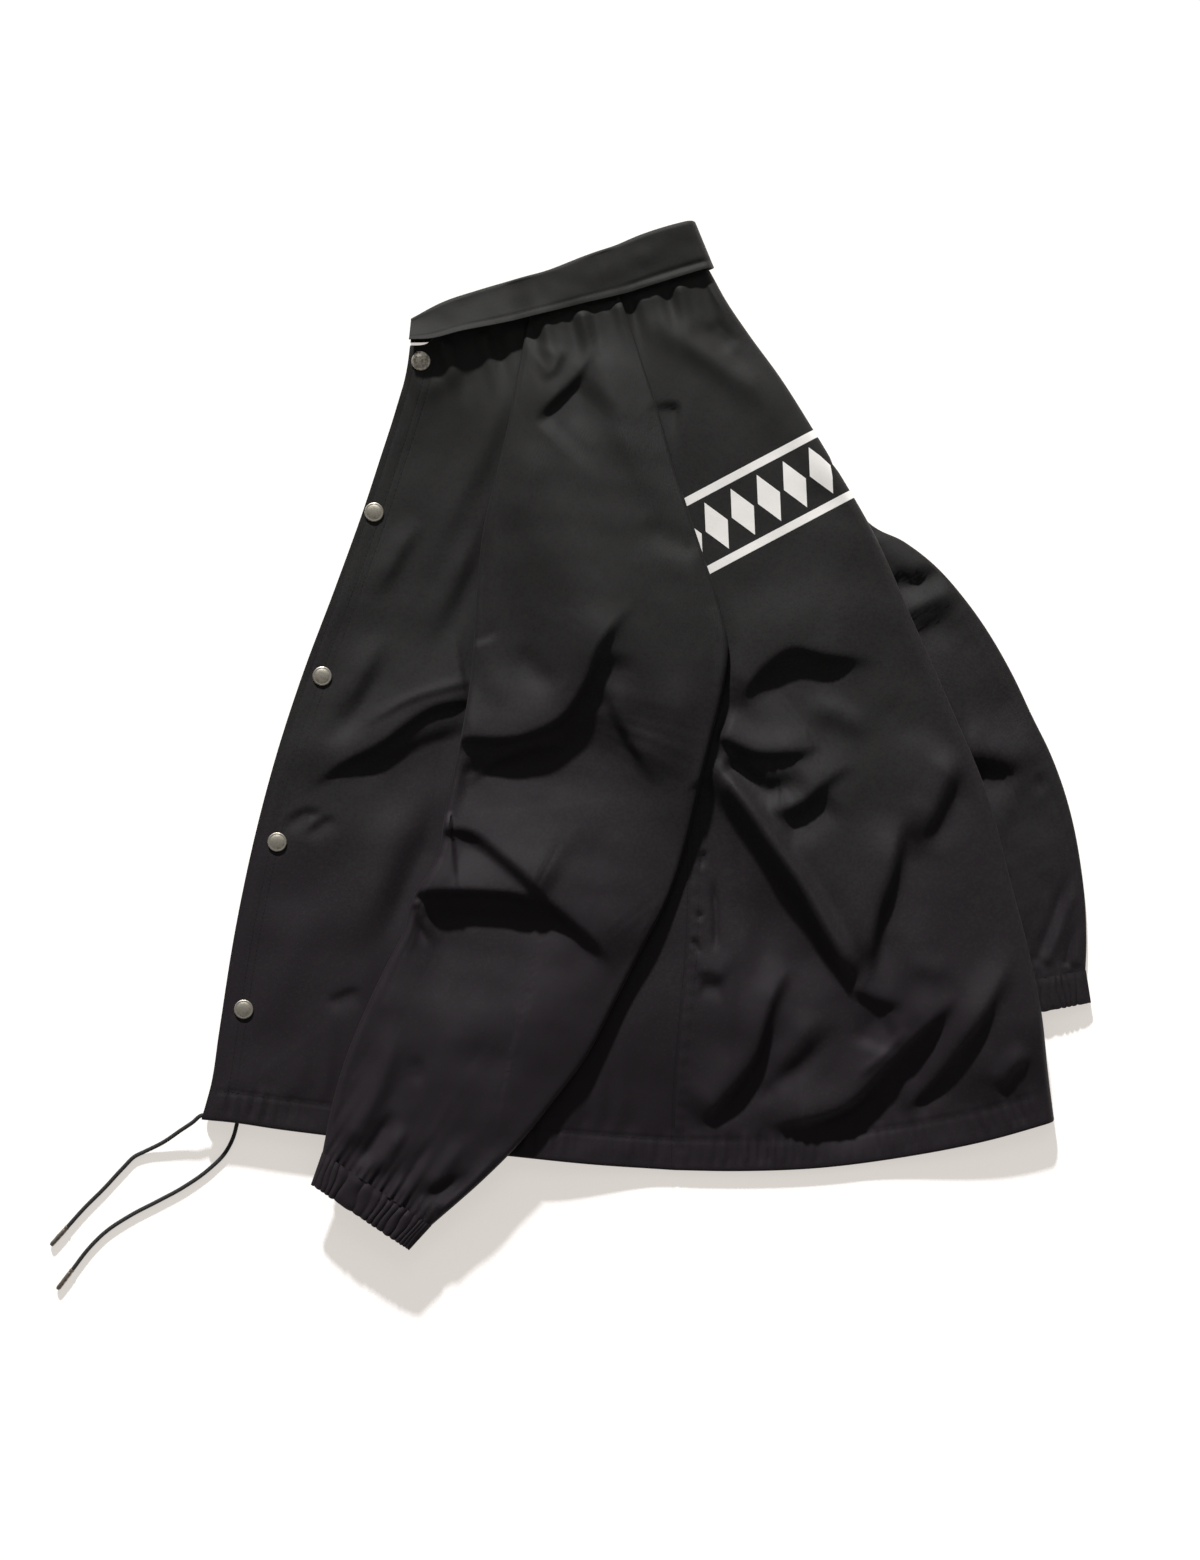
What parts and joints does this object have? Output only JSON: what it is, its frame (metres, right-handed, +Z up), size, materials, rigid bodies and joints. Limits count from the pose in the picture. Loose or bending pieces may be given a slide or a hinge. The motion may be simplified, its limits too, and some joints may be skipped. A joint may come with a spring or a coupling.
{
  "type": "coach jacket",
  "caption": "Snap-front nylon coach jacket with raglan sleeves, shirt collar, gathered cuffs and a cord in the hem, laid flat on its side.",
  "frame": {"origin": "on the surface under the jacket, at the middle of its length and width without the cord ends", "axes": "+X to the fold at the centre back, +Y to the collar, +Z up from the surface to the wearer's left side"},
  "size_m": [0.8157, 0.8366, 0.0486],
  "materials": {
    "shell_cloth": "woven nylon with a slight sheen",
    "cord": "braided, matte",
    "snap_metal": "antique silver, satin",
    "aglet_metal": "dark nickel"
  },
  "bodies": {
    "root": {"right_sleeve": "shell_cloth", "right_cuff": "shell_cloth", "right_front": "shell_cloth", "back": "shell_cloth", "left_front": "shell_cloth", "left_sleeve": "shell_cloth", "left_cuff": "shell_cloth", "collar": "shell_cloth", "snap_cap_1": "snap_metal", "snap_socket_1": "snap_metal", "snap_cap_2": "snap_metal", "snap_socket_2": "snap_metal", "snap_cap_3": "snap_metal", "snap_socket_3": "snap_metal", "snap_cap_4": "snap_metal", "snap_socket_4": "snap_metal", "snap_cap_5": "snap_metal", "snap_socket_5": "snap_metal", "drawcord_a": "cord", "aglet_a": "aglet_metal", "drawcord_b": "cord", "aglet_b": "aglet_metal"}
  },
  "joints": []
}
